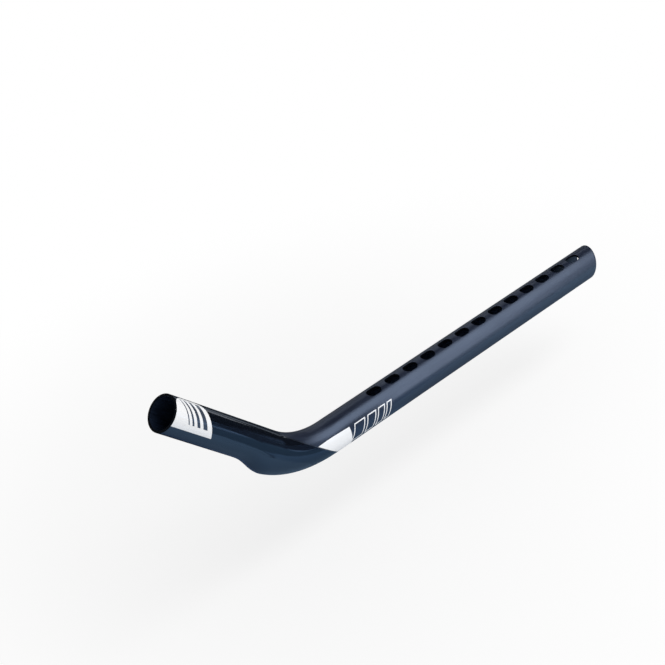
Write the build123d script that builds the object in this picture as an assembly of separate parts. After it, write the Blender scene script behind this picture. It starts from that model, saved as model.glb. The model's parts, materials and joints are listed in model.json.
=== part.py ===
from build123d import *
import os
from math import cos, radians, sin, sqrt

# Aero handlebar extension for the left hand: one hollow carbon-fibre moulding, in millimetres.
# X points forward along the straight tube, Z points up and Y points to the rider's left.
# The origin lies on the tube's axis, where the full round of the rear end begins.

# Round section of the tube and the grip
TUBE_DIAMETER = 22.2
WALL = 1.5

# Centre line: straight tube, upward bend, straight grip
TUBE_LENGTH = 246.9
BEND_RADIUS = 61.5
BEND_ANGLE = 45.0
GRIP_LENGTH = 86.7

# Palm heel: the underside swells below the round section, from the grip to the end of the bend
HEEL_FROM_TIP = 58.0
HEEL_DEPTH = 4.7
HEEL_RAMP = 28.5
# Above 1, the ramp leaves the grip slowly and ends in a crisper corner
HEEL_RAMP_LAG = 1.6
HEEL_SQUARING = 0.066
HEEL_SECTION_STEP = 4.0

# Cable slots in a row along the top, turned a little to the outer side
SLOT_COUNT = 13
SLOT_PITCH = 16.2
SLOT_LENGTH = 10.6
SLOT_WIDTH = 6.8
SLOT_TURN = 6.5
LAST_SLOT_FROM_END = 11.7

# Rear end, cut at a slant. Its long side is turned from the top towards the inner side
END_SLANT = 22.0
END_SLANT_TURN = 41.0

# Broken edges of the rims: rounded where the hand rests, bevelled at the rear
TIP_ROUND = 0.4
END_BEVEL = 0.3

# Lengths worked out from the sizes above
OUTER_RADIUS = TUBE_DIAMETER / 2
BORE_RADIUS = OUTER_RADIUS - WALL
BEND_LENGTH = BEND_RADIUS * radians(BEND_ANGLE)
CENTRE_LENGTH = TUBE_LENGTH + BEND_LENGTH + GRIP_LENGTH
HEEL_END = TUBE_LENGTH
HEEL_START = CENTRE_LENGTH - HEEL_FROM_TIP
HEEL_LENGTH = HEEL_START - HEEL_END
# Round sections this far beyond the heel carry it smoothly into the straight tube and grip
LEAD = 2 * HEEL_SECTION_STEP
PAST_END = 2 * TUBE_DIAMETER


def smooth(share):
    """S-shaped ramp from 0 to 1 with level ends."""
    share = min(max(share, 0.0), 1.0)
    return share * share * (3 - 2 * share)


def heel_shape(share):
    """Height of the heel, unscaled: 0 where the grip runs into it, 1 at the end of the bend."""
    ramp = min(max(share * HEEL_LENGTH / HEEL_RAMP, 0.0), 1.0)
    return smooth(ramp ** HEEL_RAMP_LAG) * smooth(1 - share)


HEEL_PEAK = max(heel_shape(step / 200) for step in range(201))


def heel_depth(distance):
    """How far the underside swells at a distance along the centre line from the rear end."""
    return HEEL_DEPTH * heel_shape((HEEL_START - distance) / HEEL_LENGTH) / HEEL_PEAK


def section_plane(distance):
    """Plane across the centre line at a distance from the rear end: local X is Y, local Y is up."""
    turned = min(max(distance - TUBE_LENGTH, 0.0), BEND_LENGTH) / BEND_RADIUS
    past_bend = max(distance - TUBE_LENGTH - BEND_LENGTH, 0.0)
    forward = Vector(cos(turned), 0, sin(turned))
    along_tube = Vector(min(distance, TUBE_LENGTH), 0, 0)
    along_bend = BEND_RADIUS * Vector(sin(turned), 0, 1 - cos(turned))
    return Plane(along_tube + along_bend + past_bend * forward, x_dir=(0, 1, 0), z_dir=forward)


def round_section(distance, radius):
    """Circle across the centre line."""
    return section_plane(distance) * Circle(radius)


def heel_section(distance, radius):
    """Section of the heel: a half circle above, and two conics that reach down to the underside."""
    depth = heel_depth(distance)
    bottom = -(radius + depth)
    corner_weight = sqrt(0.5) + HEEL_SQUARING * depth
    weights = [1, corner_weight, 1]
    over_top = ThreePointArc((radius, 0), (0, radius), (-radius, 0))
    right_side = Bezier((-radius, 0), (-radius, bottom), (0, bottom), weights=weights)
    left_side = Bezier((0, bottom), (radius, bottom), (radius, 0), weights=weights)
    return section_plane(distance) * make_face([over_top, right_side, left_side])


def tube_form(radius, beyond_ends):
    """Solid tube, heel and grip of one radius, running past both ends by a length."""
    rear = HEEL_END - LEAD
    front = HEEL_START + LEAD
    steps = round((front - rear) / HEEL_SECTION_STEP)
    stations = [rear + (front - rear) * step / steps for step in range(steps + 1)]
    tube = extrude(round_section(rear, radius), amount=-(rear + PAST_END + beyond_ends))
    heel = loft([heel_section(station, radius) for station in stations])
    grip = extrude(round_section(front, radius), amount=CENTRE_LENGTH - front + beyond_ends)
    return tube + heel + grip


def cable_slot(index):
    """Prism with round ends that cuts one slot through the top wall."""
    turn = radians(SLOT_TURN)
    place = LAST_SLOT_FROM_END + index * SLOT_PITCH
    across_wall = Plane((place, 0, 0), x_dir=(1, 0, 0), z_dir=(0, sin(turn), cos(turn)))
    return extrude(across_wall * SlotOverall(SLOT_LENGTH, SLOT_WIDTH), amount=TUBE_DIAMETER)


def end_plane():
    """Plane of the rear end: its short side lies level with the origin, and it leans back from there."""
    slant = radians(END_SLANT)
    turn = radians(END_SLANT_TURN)
    long_side = Vector(0, -sin(turn), cos(turn))
    facing = cos(slant) * Vector(1, 0, 0) + sin(slant) * long_side
    return Plane(-OUTER_RADIUS * long_side, x_dir=(0, cos(turn), sin(turn)), z_dir=facing)


def end_cut():
    """Block that takes off everything behind the slanted rear end."""
    reach = 4 * TUBE_DIAMETER
    return extrude(end_plane() * Rectangle(reach, reach), amount=-reach)


def rim_edges(solid, plane):
    """Edges of the solid that lie in a plane."""
    flat = [edge for edge in solid.edges() if abs(plane.to_local_coords(edge.center()).Z) < 0.01]
    return [edge for edge in flat if abs(plane.to_local_coords(edge @ 0.25).Z) < 0.01]


extension = tube_form(OUTER_RADIUS, 0) - tube_form(BORE_RADIUS, PAST_END)
extension -= end_cut()
extension -= [cable_slot(index) for index in range(SLOT_COUNT)]
extension = fillet(rim_edges(extension, section_plane(CENTRE_LENGTH)), TIP_ROUND)
extension = chamfer(rim_edges(extension, end_plane()), END_BEVEL)

os.makedirs("parts", exist_ok=True)
export_step(extension, "parts/extension_tube.step")
print("extension_tube volume", round(extension.volume), "mm3, box", extension.bounding_box())
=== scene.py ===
# %% [markdown]
# An aero handlebar extension, the carbon tube that a time-trial rider holds with the forearms on the bar.
# It is one hollow moulding: a round tube, a bend, a grip with a palm heel, and a row of cable slots on top.
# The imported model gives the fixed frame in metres, so every size below is read from it or named beside it.

# %% Load the frame
import json
from math import atan2, cos, pi, radians, sin, sqrt, tan

import bmesh
import bpy
import numpy as np
from mathutils import Matrix, Vector


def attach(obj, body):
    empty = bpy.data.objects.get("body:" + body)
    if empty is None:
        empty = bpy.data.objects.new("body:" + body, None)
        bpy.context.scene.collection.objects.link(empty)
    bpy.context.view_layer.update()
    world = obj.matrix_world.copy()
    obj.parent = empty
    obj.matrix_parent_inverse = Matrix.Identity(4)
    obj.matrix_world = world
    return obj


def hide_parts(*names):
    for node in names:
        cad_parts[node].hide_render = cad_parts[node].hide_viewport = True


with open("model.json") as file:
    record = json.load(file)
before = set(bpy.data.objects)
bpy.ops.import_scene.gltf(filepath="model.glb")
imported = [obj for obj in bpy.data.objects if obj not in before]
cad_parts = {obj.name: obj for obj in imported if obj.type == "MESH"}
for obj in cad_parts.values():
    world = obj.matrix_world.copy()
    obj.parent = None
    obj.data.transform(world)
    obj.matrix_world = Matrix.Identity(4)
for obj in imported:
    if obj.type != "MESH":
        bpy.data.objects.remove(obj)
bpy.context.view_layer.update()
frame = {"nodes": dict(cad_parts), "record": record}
mounts = {mount["name"]: mount for mount in frame["record"]["mounts"]}
MM = 0.001
print("nodes", sorted(frame["nodes"]), "mounts", sorted(mounts))

# %% [markdown]
# The camera repeats the view of the reference picture: it looks down on the outer side from beyond the grip.
# A place, a point to look at and a roll say this more plainly than three angles would.
# The lens is long, as for product pictures, so the tube keeps nearly the same width over its length.

# %% Camera
CAMERA_PLACE = Vector((644.17, 547.21, 468.36)) * MM
CAMERA_AIM = Vector((228.08, 0.0, 64.84)) * MM
CAMERA_ROLL = radians(10.803)
LENS = 72.98
SENSOR_WIDTH = 36.0
NEAREST_VIEW = 10.0 * MM

camera_data = bpy.data.cameras.new("camera")
camera_data.lens = LENS
camera_data.sensor_width = SENSOR_WIDTH
camera_data.clip_start = NEAREST_VIEW
camera = bpy.data.objects.new("camera", camera_data)
bpy.context.scene.collection.objects.link(camera)
facing = (CAMERA_AIM - CAMERA_PLACE).to_track_quat("-Z", "Y").to_matrix().to_4x4()
camera.matrix_world = Matrix.Translation(CAMERA_PLACE) @ facing @ Matrix.Rotation(-CAMERA_ROLL, 4, "Z")
bpy.context.scene.camera = camera
print("camera", round((CAMERA_AIM - CAMERA_PLACE).length, 3), "m from its aim")

# %% [markdown]
# The centre line runs straight along X, turns up through the bend and goes on straight along the grip.
# A point on the wall is found by its distance along that line and its angle from the top to the outer side.
# The solid in the frame has the same form. This finer mesh of it gives calm reflections and its own map.

# %% Sizes of the tube
OUTER_RADIUS = mounts["clamp_tube"]["dims"]["r_mm"] * MM
BORE_RADIUS = mounts["tip_socket"]["dims"]["r_mm"] * MM
TUBE_LENGTH = mounts["clamp_tube"]["dims"]["length_mm"] * MM
BEND_RADIUS = 61.5 * MM
BEND_ANGLE = radians(45)
GRIP_LENGTH = 86.7 * MM
BEND_LENGTH = BEND_RADIUS * BEND_ANGLE
CENTRE_LENGTH = TUBE_LENGTH + BEND_LENGTH + GRIP_LENGTH

HEEL_FROM_TIP = 58.0 * MM
HEEL_START = CENTRE_LENGTH - HEEL_FROM_TIP
HEEL_LENGTH = HEEL_START - TUBE_LENGTH
HEEL_DEPTH = 4.7 * MM
HEEL_RAMP = 28.5 * MM
HEEL_RAMP_LAG = 1.6
HEEL_SQUARING = 0.066 / MM
print("centre line", round(CENTRE_LENGTH, 4), "m, wall", round(OUTER_RADIUS - BORE_RADIUS, 4), "m")


# %% Form of the tube
def smooth(share):
    """S-shaped ramp from 0 to 1 with level ends."""
    share = min(max(share, 0.0), 1.0)
    return share * share * (3 - 2 * share)


def heel_shape(share):
    """Height of the palm heel, unscaled, from where the grip runs into it to the end of the bend."""
    ramp = min(max(share * HEEL_LENGTH / HEEL_RAMP, 0.0), 1.0)
    return smooth(ramp ** HEEL_RAMP_LAG) * smooth(1 - share)


HEEL_SAMPLES = 200
HEEL_PEAK = max(heel_shape(step / HEEL_SAMPLES) for step in range(HEEL_SAMPLES + 1))


def heel_depth(distance):
    """How far the underside swells at a distance from the rear end."""
    return HEEL_DEPTH * heel_shape((HEEL_START - distance) / HEEL_LENGTH) / HEEL_PEAK


def across(distance):
    """Centre and up direction of the section at a distance from the rear end."""
    turned = min(max(distance - TUBE_LENGTH, 0.0), BEND_LENGTH) / BEND_RADIUS
    past_bend = max(distance - TUBE_LENGTH - BEND_LENGTH, 0.0)
    along_tube = Vector((min(distance, TUBE_LENGTH), 0, 0))
    along_bend = Vector((sin(turned), 0, 1 - cos(turned))) * BEND_RADIUS
    along_grip = Vector((cos(turned), 0, sin(turned))) * past_bend
    return along_tube + along_bend + along_grip, Vector((-sin(turned), 0, cos(turned)))


def section(angle, radius, depth):
    """Sideways and upward place of a point of the section, by its angle from the top."""
    angle = (angle + pi) % (2 * pi) - pi
    if abs(angle) <= pi / 2:
        return radius * sin(angle), radius * cos(angle)
    # Below the middle the wall is a conic that reaches down to the heel, fuller where the heel is deeper
    below = abs(angle) - pi / 2
    side, down = cos(below), sin(below)
    bulge = 4 * (sqrt(0.5) + HEEL_SQUARING * depth) ** 2
    square = (side + down) ** 2 - bulge * side * down
    line = (side + down) * (bulge - 2)
    reach = (sqrt(line * line - 4 * square * (1 - bulge)) - line) / (2 * square)
    return (1 if angle > 0 else -1) * radius * reach * side, -(radius + depth) * reach * down


def tube_point(distance, angle, radius):
    """Point of the wall at a distance along the centre line and an angle from the top."""
    centre, up = across(distance)
    sideways, upward = section(angle, radius, heel_depth(distance))
    return centre + Vector((0, sideways, 0)) + up * upward


heel_places = np.linspace(TUBE_LENGTH, HEEL_START, HEEL_SAMPLES + 1)
print("heel swells by", round(max(heel_depth(place) for place in heel_places), 5), "m")

# %% [markdown]
# The skin is a net of quads: rings along the centre line, and columns that count from the row of slots.
# A boolean cut would be quicker to write, but quads keep the map straight and the highlights calm.
# Each slot gets its own patch of net, so the strip of columns over the slots is left open at first.

# %% Rows and columns of the net
COLUMNS = 96
PATCH_COLUMNS = 8
PATCH_ROWS = 16
ROWS_TO_BEND = 28
BEND_ROWS = 48
GRIP_ROWS = 84
REAR_PATCH_MARGIN = 1.5 * MM
TIP_ROUND = 0.4 * MM

SLOT_TURN = radians(6.5)
SLOT_COUNT = 13
SLOT_PITCH = 16.2 * MM
SLOT_LENGTH = 10.6 * MM
SLOT_WIDTH = 6.8 * MM
LAST_SLOT_FROM_END = 11.7 * MM

column_angles = [SLOT_TURN - pi + 2 * pi * column / COLUMNS for column in range(COLUMNS)]
PATCH_FIRST = COLUMNS // 2 - PATCH_COLUMNS
PATCH_LAST = COLUMNS // 2 + PATCH_COLUMNS

slot_places = [LAST_SLOT_FROM_END + index * SLOT_PITCH for index in range(SLOT_COUNT)]
patch_ends = [slot_places[0] - SLOT_LENGTH / 2 - REAR_PATCH_MARGIN]
patch_ends += [place + SLOT_PITCH / 2 for place in slot_places]

rows = [patch_ends[0]]
for rear, front in zip(patch_ends, patch_ends[1:]):
    rows += list(np.linspace(rear, front, PATCH_ROWS + 1)[1:])
patch_row_count = len(rows)
for front, steps in ((TUBE_LENGTH, ROWS_TO_BEND),
                     (TUBE_LENGTH + BEND_LENGTH, BEND_ROWS),
                     (CENTRE_LENGTH - TIP_ROUND, GRIP_ROWS)):
    rows += list(np.linspace(rows[-1], front, steps + 1)[1:])
print(len(rows), "rows of", COLUMNS, "quads")


# %% Mesh store
class Net:
    """Vertices, quads, map places and finishes of a mesh while it is built."""

    def __init__(self):
        self.points = []
        self.places = []
        self.quads = []
        self.corner_places = []
        self.finishes = []

    def add(self, point, distance, angle):
        """Adds a vertex, with its distance from the tip and its angle as its place on the map."""
        self.points.append(tuple(point))
        self.places.append((CENTRE_LENGTH - distance, angle / (2 * pi)))
        return len(self.points) - 1

    def quad(self, corners, finish, over_seam):
        """Adds a quad. Over the map's seam, its second and third corners lie a turn further on."""
        places = [self.places[corner] for corner in corners]
        if over_seam:
            for index in (1, 2):
                places[index] = (places[index][0], places[index][1] + 1)
        self.quads.append(corners)
        self.corner_places.append(places)
        self.finishes.append(finish)

    def band(self, first, second, finish, columns=None, turn=True):
        """Joins two closed rows of vertices. Rows that go round the whole tube cross the map's seam."""
        for column in columns or range(len(first)):
            after = (column + 1) % len(first)
            corners = [first[column], first[after], second[after], second[column]]
            self.quad(corners, finish, turn and after == 0)


SKIN, BORE, CUT = 0, 1, 2
net = Net()


def ring(distance, radius):
    """One ring of vertices around the centre line."""
    return [net.add(tube_point(distance, angle, radius), distance, angle) for angle in column_angles]


# %% Outer skin and bore
outer_rings = [ring(distance, OUTER_RADIUS) for distance in rows]
bore_rings = [ring(distance, BORE_RADIUS) for distance in rows]
beside_slots = [column for column in range(COLUMNS) if not PATCH_FIRST <= column < PATCH_LAST]

for rings, finish in ((outer_rings, SKIN), (bore_rings, BORE)):
    for index, (rear, front) in enumerate(zip(rings, rings[1:])):
        over_slots = index < patch_row_count - 1
        net.band(rear, front, finish, columns=beside_slots if over_slots else None)
print(len(net.quads), "quads in the skins")

# %% [markdown]
# A slot is a milled hole with round ends, and its edge is broken by a small round so that it catches light.
# Each patch runs in loops from the square of the net to the slot's outline, over the round and down the wall.
# The bore side repeats the same loops, so the wall's thickness shows as it does on a real tube.

# %% Outline of a slot
slot_up = Vector((0, sin(SLOT_TURN), cos(SLOT_TURN)))
slot_left = Vector((0, cos(SLOT_TURN), -sin(SLOT_TURN)))


def slot_outline(direction):
    """Point of a slot's outline in a direction from its middle, and the way out of the slot there."""
    half_straight = (SLOT_LENGTH - SLOT_WIDTH) / 2
    end_radius = SLOT_WIDTH / 2
    along, sideways = cos(direction), sin(direction)
    if abs(along) * end_radius <= abs(sideways) * half_straight:
        reach = end_radius / abs(sideways)
        return Vector((along, sideways)) * reach, Vector((0, 1 if sideways > 0 else -1))
    middle = half_straight if along > 0 else -half_straight
    toward = along * middle
    reach = toward + sqrt(toward * toward - middle * middle + end_radius * end_radius)
    point = Vector((along, sideways)) * reach
    return point, (point - Vector((middle, 0))) / end_radius


def slot_vertex(place, flat, height):
    """Vertex over a flat point of the slot's own plane: along the tube, sideways and up."""
    point = Vector((place + flat.x, 0, 0)) + slot_left * flat.y + slot_up * height
    return net.add(point, point.x, atan2(point.y, point.z))


def patch_border(rings, first_row):
    """Vertices round the square of the net that belongs to one slot."""
    columns = list(range(PATCH_FIRST, PATCH_LAST + 1))
    rear, front = first_row, first_row + PATCH_ROWS
    border = [rings[rear][column] for column in columns]
    border += [rings[row][PATCH_LAST] for row in range(rear + 1, front)]
    border += [rings[front][column] for column in reversed(columns)]
    border += [rings[row][PATCH_FIRST] for row in range(front - 1, rear, -1)]
    return border


print("slot outline", round(SLOT_LENGTH, 4), "x", round(SLOT_WIDTH, 4), "m")

# %% Cable slots
SLOT_EDGE_ROUND = 0.1 * MM
PATCH_LOOPS = 5
ROUND_STEPS = 3


def slot_side(place, rings, first_row, radius, sign, finish):
    """Loops of one side of the wall, from the net's square to the end of the round on the slot's wall."""
    border = patch_border(rings, first_row)
    corners = [Vector(net.points[vertex]) for vertex in border]
    border_flat = [Vector((corner.x - place, corner.dot(slot_left))) for corner in corners]
    outline = [slot_outline(atan2(flat.y, flat.x)) for flat in border_flat]
    loops = [border]
    for step in range(1, PATCH_LOOPS + 1):
        share = step / PATCH_LOOPS
        loop = []
        for flat, (point, out) in zip(border_flat, outline):
            edge = point + out * SLOT_EDGE_ROUND
            turn = (1 - share) * np.arcsin(flat.y / radius) + share * np.arcsin(edge.y / radius)
            along = (1 - share) * flat.x + share * edge.x
            loop.append(slot_vertex(place, Vector((along, radius * sin(turn))), radius * cos(turn)))
        loops.append(loop)
    for step in range(1, ROUND_STEPS + 1):
        lean = pi / 2 * step / ROUND_STEPS
        drop = SLOT_EDGE_ROUND * (1 - cos(lean))
        flats = [point + out * SLOT_EDGE_ROUND * (1 - sin(lean)) for point, out in outline]
        heights = [sqrt(radius ** 2 - flat.y ** 2) - sign * drop for flat in flats]
        loops.append([slot_vertex(place, flat, height) for flat, height in zip(flats, heights)])
    for index, (before, after) in enumerate(zip(loops, loops[1:])):
        net.band(before, after, finish if index < PATCH_LOOPS else CUT, turn=False)
    return loops[-1]


for index, place in enumerate(slot_places):
    outside = slot_side(place, outer_rings, index * PATCH_ROWS, OUTER_RADIUS, 1, SKIN)
    inside = slot_side(place, bore_rings, index * PATCH_ROWS, BORE_RADIUS, -1, BORE)
    net.band(outside, inside, CUT, turn=False)
print(SLOT_COUNT, "slots,", len(net.quads), "quads so far")

# %% [markdown]
# The tip is cut square across the grip. The rear end is cut at a slant, and its long side is turned from the
# top towards the inner side. Both rims are cut laminate with broken edges, so a profile of the rim is carried
# round each end.

# %% Tip rim
ROUND_POINTS = 4


def rim_profile(edge_round):
    """Radius and set-back of the points of a rim between the last rings of the outer wall and the bore."""
    leans = [pi / 2 * step / ROUND_POINTS for step in range(1, ROUND_POINTS + 1)]
    steps = [(edge_round * (1 - cos(lean)), edge_round * (1 - sin(lean))) for lean in leans]
    over_edge = [(OUTER_RADIUS - inward, back) for inward, back in steps]
    into_bore = [(BORE_RADIUS + outward, back) for outward, back in reversed(steps)]
    return over_edge + into_bore


def carry_rim(outer_last, bore_last, rim_rings):
    """Joins the outer wall's last ring, the rim's rings and the bore's last ring."""
    chain = [outer_last] + rim_rings + [bore_last]
    for before, after in zip(chain, chain[1:]):
        net.band(before, after, CUT)


tip_rim = [ring(CENTRE_LENGTH - back, radius) for radius, back in rim_profile(TIP_ROUND)]
carry_rim(outer_rings[-1], bore_rings[-1], tip_rim)
print("tip rim of", len(tip_rim), "rings")

# %% Slanted rear end
END_SLANT = radians(22)
END_SLANT_TURN = radians(41)
END_ROUND = 0.1 * MM
REAR_ROWS = 8


def slant_ring(radius, set_back, share=1.0):
    """Ring between the first row of the net and the slanted end, at a share of the way."""
    loop = []
    for angle in column_angles:
        end = set_back - tan(END_SLANT) * (radius * cos(angle + END_SLANT_TURN) + OUTER_RADIUS)
        distance = rows[0] + (end - rows[0]) * share
        loop.append(net.add((distance, radius * sin(angle), radius * cos(angle)), distance, angle))
    return loop


end_walls = []
for radius, rings, finish in ((OUTER_RADIUS, outer_rings, SKIN), (BORE_RADIUS, bore_rings, BORE)):
    shares = [step / REAR_ROWS for step in range(1, REAR_ROWS + 1)]
    wall = [rings[0]] + [slant_ring(radius, END_ROUND, share) for share in shares]
    for before, after in zip(wall, wall[1:]):
        net.band(before, after, finish)
    end_walls.append(wall[-1])
rear_rim = [slant_ring(radius, back) for radius, back in rim_profile(END_ROUND)]
carry_rim(end_walls[0], end_walls[1], rear_rim)
print(len(net.quads), "quads in all")

# %% [markdown]
# The net becomes one mesh object. Its map, named lay, holds the distance from the tip and the turn from the
# top, so finishes can be laid out along and around the tube as a painter's mask would be.
# The rows were joined in both directions, so the faces are turned outward together at the end.

# %% Mesh object
corner_array = np.array(net.quads)
used, renumbered = np.unique(corner_array, return_inverse=True)
points = np.array(net.points)[used]
mesh = bpy.data.meshes.new("extension_shell")
mesh.from_pydata(points.tolist(), [], renumbered.reshape(corner_array.shape).tolist())
lay = mesh.uv_layers.new(name="lay")
lay.uv.foreach_set("vector", np.array(net.corner_places, dtype=np.float32).ravel())
mesh.polygons.foreach_set("material_index", np.array(net.finishes, dtype=np.int32))
mesh.polygons.foreach_set("use_smooth", np.ones(len(net.quads), dtype=bool))

turned_out = bmesh.new()
turned_out.from_mesh(mesh)
bmesh.ops.recalc_face_normals(turned_out, faces=turned_out.faces)
open_edges = sum(1 for edge in turned_out.edges if len(edge.link_faces) != 2)
turned_out.to_mesh(mesh)
turned_out.free()

shell = bpy.data.objects.new("extension_shell", mesh)
bpy.context.scene.collection.objects.link(shell)
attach(shell, "root")
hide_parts("extension_tube")
print("shell has", len(mesh.polygons), "faces and", open_edges, "open edges")

# %% [markdown]
# Unidirectional carbon is fine dark fibre that runs along the tube. Under satin lacquer it shows as faint
# streaks, and as patches where the fibre wandered in the mould. A noise stretched along the tube gives the
# streaks, and a broader one the patches. The skin, the bore and the cut edges all show fibre, so it is a node
# group that each material places with its own values.


# %% Node helpers
def new_group(name, inputs, outputs):
    """Empty shader node group with value inputs and value outputs."""
    group = bpy.data.node_groups.new(name, "ShaderNodeTree")
    for label, default in inputs:
        socket = group.interface.new_socket(label, in_out="INPUT", socket_type="NodeSocketFloat")
        socket.default_value = default
    for label in outputs:
        group.interface.new_socket(label, in_out="OUTPUT", socket_type="NodeSocketFloat")
    return group, group.nodes.new("NodeGroupInput"), group.nodes.new("NodeGroupOutput")


def calc(tree, operation, *values, clamp=False):
    """Math node fed by numbers or sockets; gives its output socket."""
    node = tree.nodes.new("ShaderNodeMath")
    node.operation = operation
    node.use_clamp = clamp
    for socket, value in zip(node.inputs, values):
        if isinstance(value, (int, float)):
            socket.default_value = value
        else:
            tree.links.new(value, socket)
    return node.outputs[0]


def lay_sockets(tree):
    """Distance from the tip in millimetres and angle from the top in degrees, read from the map."""
    uv = tree.nodes.new("ShaderNodeUVMap")
    uv.uv_map = "lay"
    parts = tree.nodes.new("ShaderNodeSeparateXYZ")
    tree.links.new(uv.outputs[0], parts.inputs[0])
    along = calc(tree, "MULTIPLY", parts.outputs[0], 1 / MM)
    return along, calc(tree, "MULTIPLY", parts.outputs[1], 360.0)


# %% Fibre group
PATCH_STRETCH = 0.45
NOISE_DETAIL = 3.0
# The middle of the noise is spread over the whole range from 0 to 1
NOISE_GAIN = 2.4
NOISE_START = -0.7


def fibre_group():
    """Streaks along the tube and broad patches, both from 0 to 1."""
    inputs = [("Streak Scale", 2.2), ("Stretch", 0.03), ("Patch Scale", 0.09)]
    tree, entry, result = new_group("carbon_fibre_lay", inputs, ["Streaks", "Patches"])
    along, angle = lay_sockets(tree)
    turn = calc(tree, "RADIANS", angle)
    sideways = calc(tree, "MULTIPLY", calc(tree, "SINE", turn), OUTER_RADIUS / MM)
    upward = calc(tree, "MULTIPLY", calc(tree, "COSINE", turn), OUTER_RADIUS / MM)
    kinds = (("Streaks", entry.outputs["Stretch"], entry.outputs["Streak Scale"]),
             ("Patches", PATCH_STRETCH, entry.outputs["Patch Scale"]))
    for label, stretch, scale in kinds:
        place = tree.nodes.new("ShaderNodeCombineXYZ")
        tree.links.new(calc(tree, "MULTIPLY", along, stretch), place.inputs[0])
        tree.links.new(sideways, place.inputs[1])
        tree.links.new(upward, place.inputs[2])
        noise = tree.nodes.new("ShaderNodeTexNoise")
        noise.inputs["Detail"].default_value = NOISE_DETAIL
        tree.links.new(scale, noise.inputs["Scale"])
        tree.links.new(place.outputs[0], noise.inputs["Vector"])
        spread = calc(tree, "MULTIPLY_ADD", noise.outputs["Fac"], NOISE_GAIN, NOISE_START, clamp=True)
        tree.links.new(spread, result.inputs[label])
    return tree


fibres = fibre_group()
print("group", fibres.name, [item.name for item in fibres.interface.items_tree])

# %% [markdown]
# The finishes are laid out as masks. Gloss lacquer covers the outer side of the grip and the heel, and ends
# on a straight slanted line, where the satin tube begins. That line and the top of the stripe lie in planes.
# A white panel wraps the tip and a white stripe lies beside the bend. Slanted bars decorate the panel and,
# as outlines only, the tube behind the stripe. Masks in millimetres stay sharp at any size of picture.

# %% Places of the finishes
# Lengths in millimetres, mostly from the tip, and turns in degrees from the top to the outer side
EDGE = 0.12
TURN_EDGE = 0.8

# The lacquer ends on a plane that leans forward as it rises, and on the grip it reaches back to a second line
GLOSS_LINE = 256.3
GLOSS_RISE = 1.109
GRIP_GLOSS_END = 81.0
GRIP_GLOSS_LEAN = 0.4
GLOSS_TURN = (-12.0, 176.0)
LINE_WIDTH = 0.8

# White panel at the tip, with bars given as distance from its end and width
PANEL_END = 21.0
PANEL_LEAN = 0.0935
PANEL_TURN = (5.5, 110.0)
PANEL_TIP_CORNER = 9.0
PANEL_END_CORNER = 4.5
PANEL_BARS = ((3.6, 3.2), (9.2, 2.3), (13.8, 1.5), (17.4, 0.9))
PANEL_BAR_TURN = (18.0, 90.0)

# White stripe beside the bend, under a nearly level edge with a thin dark line
STRIPE_END = 145.5
STRIPE_TURN = (40.0, 160.0)
STRIPE_TOP = -3.55
STRIPE_RISE = 0.037
KEYLINE = 0.4

# Outlined bars on the tube, given as place of the middle and half width
OUTLINED_BARS = ((159.5, 4.2), (169.8, 3.4), (178.2, 2.6), (184.9, 1.8))
OUTLINE_SLANT = 0.085
OUTLINE_TURN = 92.0
OUTLINE_HALF_TURN = 27.0
OUTLINE_HALF_WIDTH = 0.36
ARC_PER_DEGREE = OUTER_RADIUS / MM * radians(1)
print(len(PANEL_BARS), "bars on the panel and", len(OUTLINED_BARS), "outlined ones on the tube")


# %% Mask helpers
def product(tree, *masks):
    """Product of masks."""
    result = masks[0]
    for mask in masks[1:]:
        result = calc(tree, "MULTIPLY", result, mask)
    return result


def largest(tree, *masks):
    """Largest of masks."""
    result = masks[0]
    for mask in masks[1:]:
        result = calc(tree, "MAXIMUM", result, mask)
    return result


def above(tree, value, edge, softness):
    """Mask that is 1 where a value lies above an edge, with a narrow ramp."""
    past = calc(tree, "SUBTRACT", value, edge)
    return calc(tree, "MULTIPLY_ADD", past, 1 / softness, 0.5, clamp=True)


def below(tree, value, edge, softness):
    """Mask that is 1 where a value lies below an edge."""
    return calc(tree, "SUBTRACT", 1.0, above(tree, value, edge, softness))


def within(tree, value, low, high, softness):
    """Mask of a band between two edges."""
    return product(tree, above(tree, value, low, softness), below(tree, value, high, softness))


# %% Panel and bars
def rounded_corner(tree, first, second, radius):
    """Mask of the inside of a rounded corner, from the distances to its two sides."""
    reaches = [calc(tree, "MAXIMUM", calc(tree, "SUBTRACT", radius, side), 0.0) for side in (first, second)]
    squares = [calc(tree, "MULTIPLY", reach, reach) for reach in reaches]
    return below(tree, calc(tree, "SQRT", calc(tree, "ADD", *squares)), radius, EDGE)


def panel_masks(tree, along, angle):
    """White panel at the tip and the grey bars on it."""
    panel_end = calc(tree, "MULTIPLY_ADD", angle, PANEL_LEAN, PANEL_END)
    from_end = calc(tree, "SUBTRACT", panel_end, along)
    from_top = calc(tree, "MULTIPLY", calc(tree, "SUBTRACT", angle, PANEL_TURN[0]), ARC_PER_DEGREE)
    panel = product(tree, rounded_corner(tree, from_top, from_end, PANEL_END_CORNER),
                    rounded_corner(tree, from_top, along, PANEL_TIP_CORNER),
                    below(tree, angle, PANEL_TURN[1], TURN_EDGE))
    bars = [within(tree, from_end, start, start + width, EDGE) for start, width in PANEL_BARS]
    return panel, product(tree, largest(tree, *bars), within(tree, angle, *PANEL_BAR_TURN, TURN_EDGE), panel)


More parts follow.
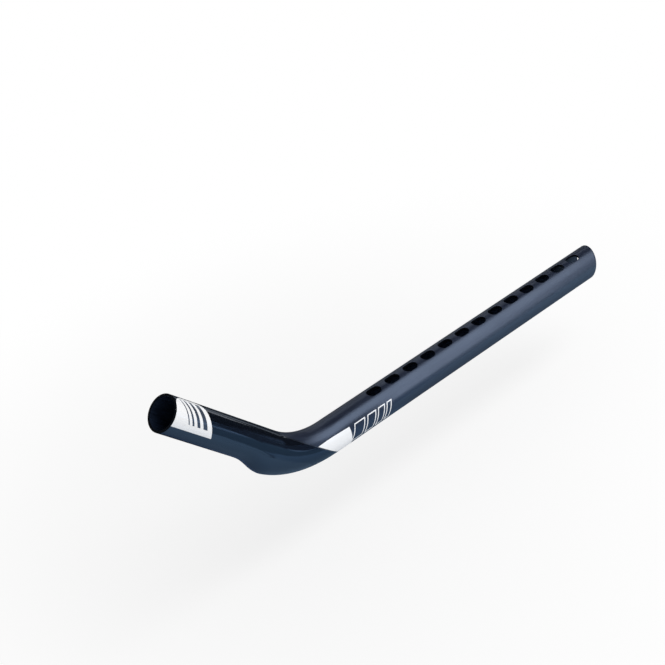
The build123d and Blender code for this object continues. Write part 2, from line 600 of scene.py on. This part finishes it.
def outlined_bars(tree, along, angle):
    """Outlines of slanted bars that grow narrower towards the rear."""
    slanted = calc(tree, "MULTIPLY_ADD", angle, OUTLINE_SLANT, along)
    off_middle = calc(tree, "ABSOLUTE", calc(tree, "SUBTRACT", angle, OUTLINE_TURN))
    past_end = calc(tree, "MULTIPLY", calc(tree, "SUBTRACT", off_middle, OUTLINE_HALF_TURN), ARC_PER_DEGREE)
    outlines = []
    for middle, half_width in OUTLINED_BARS:
        off_bar = calc(tree, "ABSOLUTE", calc(tree, "SUBTRACT", slanted, middle))
        past_side = calc(tree, "SUBTRACT", off_bar, half_width)
        from_rim = calc(tree, "ABSOLUTE", calc(tree, "MAXIMUM", past_side, past_end))
        outlines.append(below(tree, from_rim, OUTLINE_HALF_WIDTH, EDGE))
    return largest(tree, *outlines)


# %% Layout group
def layout_group():
    """Masks of the gloss lacquer, the white paint, the grey bars and the thin dark lines."""
    tree, entry, result = new_group("finish_layout", [], ["Gloss", "White", "Bars", "Lines"])
    along, angle = lay_sockets(tree)
    place = tree.nodes.new("ShaderNodeTexCoord")
    xyz = tree.nodes.new("ShaderNodeSeparateXYZ")
    tree.links.new(place.outputs["Object"], xyz.inputs[0])
    x_place = calc(tree, "MULTIPLY", xyz.outputs[0], 1 / MM)
    height = calc(tree, "MULTIPLY", xyz.outputs[2], 1 / MM)
    outer_side = within(tree, angle, *GLOSS_TURN, TURN_EDGE)

    forward = calc(tree, "MULTIPLY_ADD", height, -GLOSS_RISE, x_place)
    over_grip = calc(tree, "MULTIPLY_ADD", angle, -GRIP_GLOSS_LEAN, along)
    on_grip = below(tree, over_grip, GRIP_GLOSS_END, EDGE)
    ahead = largest(tree, above(tree, forward, GLOSS_LINE, EDGE), on_grip)
    tree.links.new(product(tree, ahead, outer_side), result.inputs["Gloss"])

    beside_bend = product(tree, below(tree, forward, GLOSS_LINE, EDGE),
                          below(tree, along, STRIPE_END, EDGE),
                          within(tree, angle, *STRIPE_TURN, TURN_EDGE))
    over_edge = calc(tree, "MULTIPLY_ADD", x_place, -STRIPE_RISE, height)
    stripe = product(tree, beside_bend, below(tree, over_edge, STRIPE_TOP, EDGE))
    keyline = product(tree, beside_bend, within(tree, over_edge, STRIPE_TOP, STRIPE_TOP + KEYLINE, EDGE))
    gloss_line = product(tree, within(tree, forward, GLOSS_LINE - LINE_WIDTH, GLOSS_LINE, EDGE),
                         above(tree, over_grip, GRIP_GLOSS_END, EDGE),
                         outer_side)
    tree.links.new(largest(tree, keyline, gloss_line), result.inputs["Lines"])

    panel, bars = panel_masks(tree, along, angle)
    white = largest(tree, panel, stripe, outlined_bars(tree, along, angle))
    tree.links.new(white, result.inputs["White"])
    tree.links.new(bars, result.inputs["Bars"])
    return tree


layout = layout_group()
print("group", layout.name, [item.name for item in layout.interface.items_tree])

# %% [markdown]
# Carbon shows little colour of its own: what the eye sees is lacquer over near-black fibre. So the base stays
# very dark, the lacquer's reflection is tinted a cool blue, and roughness tells satin from gloss.
# Streaks and patches vary the colour, the roughness and, as a slight bump, the surface.

# %% Colours and lacquer
SATIN_DARK = (0.0050, 0.0070, 0.0160)
SATIN_LIGHT = (0.0120, 0.0165, 0.0340)
GLOSS_DARK = (0.0018, 0.0024, 0.0042)
GLOSS_LIGHT = (0.0040, 0.0055, 0.0090)
PAINT_WHITE = (0.86, 0.865, 0.87)
BAR_GREY = (0.045, 0.058, 0.082)
LINE_DARK = (0.0030, 0.0040, 0.0065)
LACQUER_TINT = (0.54, 0.70, 1.0)
LACQUER_LEVEL = 0.92
SATIN_ROUGHNESS = 0.27
GLOSS_ROUGHNESS = 0.06
PATCH_GRAIN = 0.08
STREAK_GRAIN = 0.05
BUMP_STRENGTH = 0.05
BUMP_DEPTH = 0.2 * MM
print("roughness of satin", SATIN_ROUGHNESS, "and of gloss", GLOSS_ROUGHNESS)


# %% Material helpers
def new_material(name):
    """Material with only a Principled shader, its reflection tinted as the lacquer's is."""
    material = bpy.data.materials.new(name)
    material.use_nodes = True
    shader = material.node_tree.nodes["Principled BSDF"]
    shader.inputs["Specular Tint"].default_value = (*LACQUER_TINT, 1.0)
    return material, material.node_tree, shader


def place_group(tree, group, values=()):
    """Outputs of a group node, with some of its inputs set."""
    node = tree.nodes.new("ShaderNodeGroup")
    node.node_tree = group
    for label, value in values:
        node.inputs[label].default_value = value
    return node.outputs


def mix_colour(tree, factor, first, second):
    """Mix of two colours by a mask."""
    node = tree.nodes.new("ShaderNodeMix")
    node.data_type = "RGBA"
    tree.links.new(factor, node.inputs["Factor"])
    for label, value in (("A", first), ("B", second)):
        socket = next(s for s in node.inputs if s.name == label and s.type == "RGBA")
        if isinstance(value, tuple):
            socket.default_value = (*value, 1.0)
        else:
            tree.links.new(value, socket)
    return next(s for s in node.outputs if s.type == "RGBA")


# %% Skin material
def skin_material():
    """Satin carbon, gloss lacquer and white paint on the outside of the tube."""
    material, tree, shader = new_material("lacquered_carbon")
    masks = place_group(tree, layout)
    fibre = place_group(tree, fibres)
    satin = mix_colour(tree, fibre["Streaks"], SATIN_DARK, SATIN_LIGHT)
    gloss = mix_colour(tree, fibre["Streaks"], GLOSS_DARK, GLOSS_LIGHT)
    colour = mix_colour(tree, masks["Gloss"], satin, gloss)
    colour = mix_colour(tree, masks["White"], colour, PAINT_WHITE)
    colour = mix_colour(tree, masks["Bars"], colour, BAR_GREY)
    colour = mix_colour(tree, masks["Lines"], colour, LINE_DARK)
    tree.links.new(colour, shader.inputs["Base Color"])

    grain = calc(tree, "MULTIPLY_ADD", fibre["Patches"], PATCH_GRAIN, SATIN_ROUGHNESS)
    grain = calc(tree, "MULTIPLY_ADD", fibre["Streaks"], STREAK_GRAIN, grain)
    to_gloss = calc(tree, "SUBTRACT", GLOSS_ROUGHNESS, grain)
    tree.links.new(calc(tree, "MULTIPLY_ADD", masks["Gloss"], to_gloss, grain), shader.inputs["Roughness"])
    shader.inputs["Specular IOR Level"].default_value = LACQUER_LEVEL
    bump = tree.nodes.new("ShaderNodeBump")
    bump.inputs["Strength"].default_value = BUMP_STRENGTH
    bump.inputs["Distance"].default_value = BUMP_DEPTH
    tree.links.new(fibre["Streaks"], bump.inputs["Height"])
    tree.links.new(bump.outputs[0], shader.inputs["Normal"])
    return material


mesh.materials.append(skin_material())
print("material", mesh.materials[SKIN].name)

# %% [markdown]
# Inside, the tube is bare laminate as it came off the mandrel: coarser fibre, dull and faintly blue.
# The cut edges show the ends of the plies, and are duller and darker still. Two separate materials could be
# written out, but both are the same fibre without lacquer, so one function makes them from the fibre group.

# %% Bore and cut-edge materials
BORE_DARK = (0.0040, 0.0070, 0.0160)
BORE_LIGHT = (0.0140, 0.0230, 0.0460)
CUT_DARK = (0.0015, 0.0019, 0.0030)
CUT_LIGHT = (0.0050, 0.0062, 0.0090)
BORE_LEVEL = 0.3
CUT_LEVEL = 0.05
BORE_ROUGHNESS = 0.40
CUT_ROUGHNESS = 0.55
LAMINATE_GRAIN = 0.2
BORE_FIBRE = (("Streak Scale", 1.1), ("Stretch", 0.12))
CUT_FIBRE = (("Streak Scale", 3.0), ("Stretch", 1.0))


def laminate_material(name, dark, light, roughness, level, fibre_values):
    """Bare laminate, without lacquer: fibre colour and a dull surface."""
    material, tree, shader = new_material(name)
    fibre = place_group(tree, fibres, fibre_values)
    tree.links.new(mix_colour(tree, fibre["Streaks"], dark, light), shader.inputs["Base Color"])
    grain = calc(tree, "MULTIPLY_ADD", fibre["Patches"], LAMINATE_GRAIN, roughness)
    tree.links.new(grain, shader.inputs["Roughness"])
    shader.inputs["Specular IOR Level"].default_value = level
    return material


for values in (("raw_bore", BORE_DARK, BORE_LIGHT, BORE_ROUGHNESS, BORE_LEVEL, BORE_FIBRE),
               ("cut_laminate", CUT_DARK, CUT_LIGHT, CUT_ROUGHNESS, CUT_LEVEL, CUT_FIBRE)):
    mesh.materials.append(laminate_material(*values))
print("materials", [material.name for material in mesh.materials])

# %% [markdown]
# The studio is a white room. Its floor shows white to the camera and in reflections by a glow of its own.
# Near the part, a share of it is shaded as any lit floor is, so that the part's soft shadow stays on it.
# More lamps would also whiten the floor, but they would put too much light on the part.

# %% Floor material
FLOOR_MIDDLE = (0.18, 0.0, 0.0)
FLOOR_COLOUR = (0.94, 0.94, 0.94)
SHADOW_REACH = (0.08, 0.44)
NEAR_GLOW = 0.66


def background_rays(tree):
    """1 for rays that show the background itself: to the camera, in reflections and through glass."""
    path = tree.nodes.new("ShaderNodeLightPath").outputs
    return largest(tree, path["Is Camera Ray"], path["Is Glossy Ray"], path["Is Transmission Ray"])


def matt_shader(tree, colour):
    """Makes the Principled shader of a new material dull and of one colour."""
    shader = tree.nodes["Principled BSDF"]
    shader.inputs["Base Color"].default_value = (*colour, 1.0)
    shader.inputs["Roughness"].default_value = 1.0
    shader.inputs["Specular IOR Level"].default_value = 0.0
    return shader


def floor_material():
    """Pale matt floor that shows white, with the object's soft shadow kept near it."""
    material = bpy.data.materials.new("pale_floor")
    material.use_nodes = True
    tree = material.node_tree
    shader = matt_shader(tree, FLOOR_COLOUR)
    place = tree.nodes.new("ShaderNodeTexCoord")
    apart = tree.nodes.new("ShaderNodeVectorMath")
    apart.operation = "DISTANCE"
    apart.inputs[1].default_value = FLOOR_MIDDLE
    tree.links.new(place.outputs["Object"], apart.inputs[0])
    share = tree.nodes.new("ShaderNodeMapRange")
    share.interpolation_type = "SMOOTHSTEP"
    share.inputs["From Min"].default_value = SHADOW_REACH[0]
    share.inputs["From Max"].default_value = SHADOW_REACH[1]
    share.inputs["To Min"].default_value = NEAR_GLOW
    share.inputs["To Max"].default_value = 1.0
    tree.links.new(apart.outputs["Value"], share.inputs["Value"])
    glow = tree.nodes.new("ShaderNodeEmission")
    mix = tree.nodes.new("ShaderNodeMixShader")
    tree.links.new(product(tree, background_rays(tree), share.outputs["Result"]), mix.inputs[0])
    tree.links.new(shader.outputs[0], mix.inputs[1])
    tree.links.new(glow.outputs[0], mix.inputs[2])
    tree.links.new(mix.outputs[0], tree.nodes["Material Output"].inputs["Surface"])
    return material


# %% Floor
FLOOR_LEVEL = -62.0 * MM
FLOOR_REACH = 6.0


def flat_sheet(name, corners, material):
    """Four-cornered sheet that belongs to the studio."""
    sheet_mesh = bpy.data.meshes.new(name)
    sheet_mesh.from_pydata(corners, [], [(0, 1, 2, 3)])
    sheet_mesh.materials.append(material)
    sheet = bpy.data.objects.new(name, sheet_mesh)
    bpy.context.scene.collection.objects.link(sheet)
    return sheet


def level_corners(x_range, y_range, height):
    """Corners of a level rectangle."""
    (x0, x1), (y0, y1) = x_range, y_range
    return [(x0, y0, height), (x1, y0, height), (x1, y1, height), (x0, y1, height)]


everywhere = (-FLOOR_REACH, FLOOR_REACH)
floor = flat_sheet("floor", level_corners(everywhere, everywhere, 0.0), floor_material())
floor.location.z = FLOOR_LEVEL
print("floor at", FLOOR_LEVEL, "m")

# %% [markdown]
# A dark lacquered tube would mirror all that white, so cards are set around it, as a photographer sets flags.
# Dark ones stand over it and behind it, with a gap that makes the light streak along the grip. Cool blue ones
# lie under it and stand beside it, and give the flanks their tones. The cards show only in reflections and
# leave the light as it is, so their colours are painted reflections: painted dark bands over and behind the
# tube, painted pale light on the flanks, and painted shade of the part on the floor cards close under it.

# %% Card makers
BLACK_CARD = (0.020, 0.026, 0.038)
GREY_CARD = (0.48, 0.50, 0.53)
COOL_CARD = (0.15, 0.22, 0.33)
PALE_CARD = (0.80, 0.94, 1.00)
REAR_PLACE = -0.90
CARD_STEP = 1.0 * MM


def reflected_card(name, corners, colour, end_colour=None):
    """Card that shows only in reflections and throws no shadow, so its colour is a painted reflection. It may
    change colour along Y.
    """
    material = bpy.data.materials.new(name)
    material.use_nodes = True
    tree = material.node_tree
    shader = matt_shader(tree, colour)
    if end_colour:
        place = tree.nodes.new("ShaderNodeTexCoord")
        parts = tree.nodes.new("ShaderNodeSeparateXYZ")
        tree.links.new(place.outputs["Generated"], parts.inputs[0])
        tree.links.new(mix_colour(tree, parts.outputs[1], colour, end_colour), shader.inputs["Base Color"])
    card = flat_sheet(name, corners, material)
    card.visible_camera = False
    card.visible_diffuse = False
    card.visible_transmission = False
    card.visible_shadow = False


def upright_corners(start, end, z_range):
    """Corners of a card that stands on the line between two places of the floor plan."""
    low, high = z_range
    return [(*start, low), (*end, low), (*end, high), (*start, high)]


def rear_corners(y_range, z_range, ahead=0.0):
    """Corners of a card that stands across the room behind the rear end."""
    place = REAR_PLACE + ahead
    return upright_corners((place, y_range[0]), (place, y_range[1]), z_range)


# %% Cards
hung_cards = [
    ("ceiling_flag", level_corners((-3.0, 1.5), (-1.0, 2.0), 1.30), BLACK_CARD),
    ("rear_flag", rear_corners((-0.27, 1.05), (FLOOR_LEVEL, 0.62)), BLACK_CARD),
    ("rear_flag_foot", rear_corners((-0.48, -0.27), (FLOOR_LEVEL, 0.015)), BLACK_CARD),
    ("rear_flag_wing", rear_corners((-1.00, -0.27), (0.07, 0.62)), BLACK_CARD),
    ("rear_cool_side", rear_corners((0.56, 1.05), (FLOOR_LEVEL, 0.28), CARD_STEP), COOL_CARD),
    ("rear_cool_foot", rear_corners((0.07, 0.38), (FLOOR_LEVEL, 0.0), CARD_STEP), COOL_CARD),
    ("bend_flag", upright_corners((0.182, 0.054), (0.209, 0.087), (0.0, 0.045)), COOL_CARD),
    ("flank_card", upright_corners((-0.28, 0.12), (0.075, 0.12), (-0.044, -0.010)), PALE_CARD),
    ("inner_wall", upright_corners((-2.0, -1.3), (1.2, -1.3), (FLOOR_LEVEL, 1.2)), GREY_CARD),
]
for card in hung_cards:
    reflected_card(*card)

# Cards on the floor, by their reach along X and Y, each a little above the one before it
floor_cards = [
    ("inner_far", (-2.4, 1.2), (-1.3, -0.06), (0.58, 0.64, 0.70)),
    # A dark card on the inner side, next to the part: painted shade in the reflections
    ("inner_near", (-0.42, 1.2), (-1.3, -0.06), (0.040, 0.052, 0.070)),
    ("outer_far", (-2.4, 1.2), (-0.06, 1.6), (0.10, 0.17, 0.26)),
    ("outer_near", (0.0, 1.2), (0.10, 0.255), (0.20, 0.35, 0.48)),
    ("outer_patch", (-0.10, 0.03), (0.255, 0.38), (0.52, 0.76, 1.00)),
    ("outer_tube", (-0.6, -0.04), (0.10, 0.21), (0.66, 0.90, 1.00)),
    ("outer_tube_front", (-0.04, 0.08), (0.10, 0.175), (0.66, 0.90, 1.00)),
    # The next three cards go from dark at their edge under the part to pale further out: painted shade of the
    # part in the reflections
    ("under_tube", (-0.6, 0.16), (-0.03, 0.10), (0.00, 0.01, 0.06), (0.60, 0.85, 1.00)),
    ("under_bend", (0.16, 0.25), (-0.06, 0.10), (0.05, 0.09, 0.15), (0.42, 0.68, 0.95)),
    ("under_heel", (0.25, 1.2), (-0.07, 0.085), (0.05, 0.10, 0.24), (0.52, 0.78, 1.00)),
    ("beside_heel", (0.255, 1.2), (0.085, 0.14), (0.52, 0.78, 1.00)),
]
for index, (name, x_range, y_range, *colours) in enumerate(floor_cards):
    reflected_card(name, level_corners(x_range, y_range, FLOOR_LEVEL + (index + 1) * CARD_STEP), *colours)
print(len(hung_cards), "hung cards and", len(floor_cards), "on the floor")

# %% [markdown]
# Two soft lamps light the outer side, one from above and one from the side. Small bright lamps would leave
# hard spots on the lacquer, so these are broad, and just weak enough that white paint stays below full white.
# The room adds an even fill from all sides, and itself shows white.


# %% Lamps
def soft_lamp(name, place, aim, size, power):
    """Rectangular lamp that faces a point, with its long side along X."""
    data = bpy.data.lights.new(name, "AREA")
    data.shape = "RECTANGLE"
    data.size, data.size_y = size
    data.energy = power
    lamp = bpy.data.objects.new(name, data)
    bpy.context.scene.collection.objects.link(lamp)
    toward = (Vector(aim) - Vector(place)).normalized()
    side = (Vector((1, 0, 0)) - toward * toward.x).normalized()
    turn = Matrix((side, side.cross(toward), -toward)).transposed()
    lamp.matrix_world = Matrix.Translation(place) @ turn.to_4x4()
    return lamp


LAMP_AIM = (0.12, 0.0, 0.0)
lamps = [
    soft_lamp("overhead_softbox", (-0.30, 0.52, 0.80), LAMP_AIM, (1.04, 0.86), 8.3),
    soft_lamp("side_softbox", (-0.38, 0.95, 0.22), LAMP_AIM, (0.56, 0.56), 2.1),
]
print("lamps", [(lamp.name, lamp.data.energy) for lamp in lamps])

# %% World
ROOM_LIGHT = 0.45
world = bpy.data.worlds.new("white_room")
world.use_nodes = True
bpy.context.scene.world = world
tree = world.node_tree
background = tree.nodes["Background"]
background.inputs["Color"].default_value = (1.0, 1.0, 1.0, 1.0)
strength = calc(tree, "MULTIPLY_ADD", background_rays(tree), 1.0 - ROOM_LIGHT, ROOM_LIGHT)
tree.links.new(strength, background.inputs["Strength"])
bpy.context.scene.view_settings.view_transform = "Standard"
print("room fill", ROOM_LIGHT)
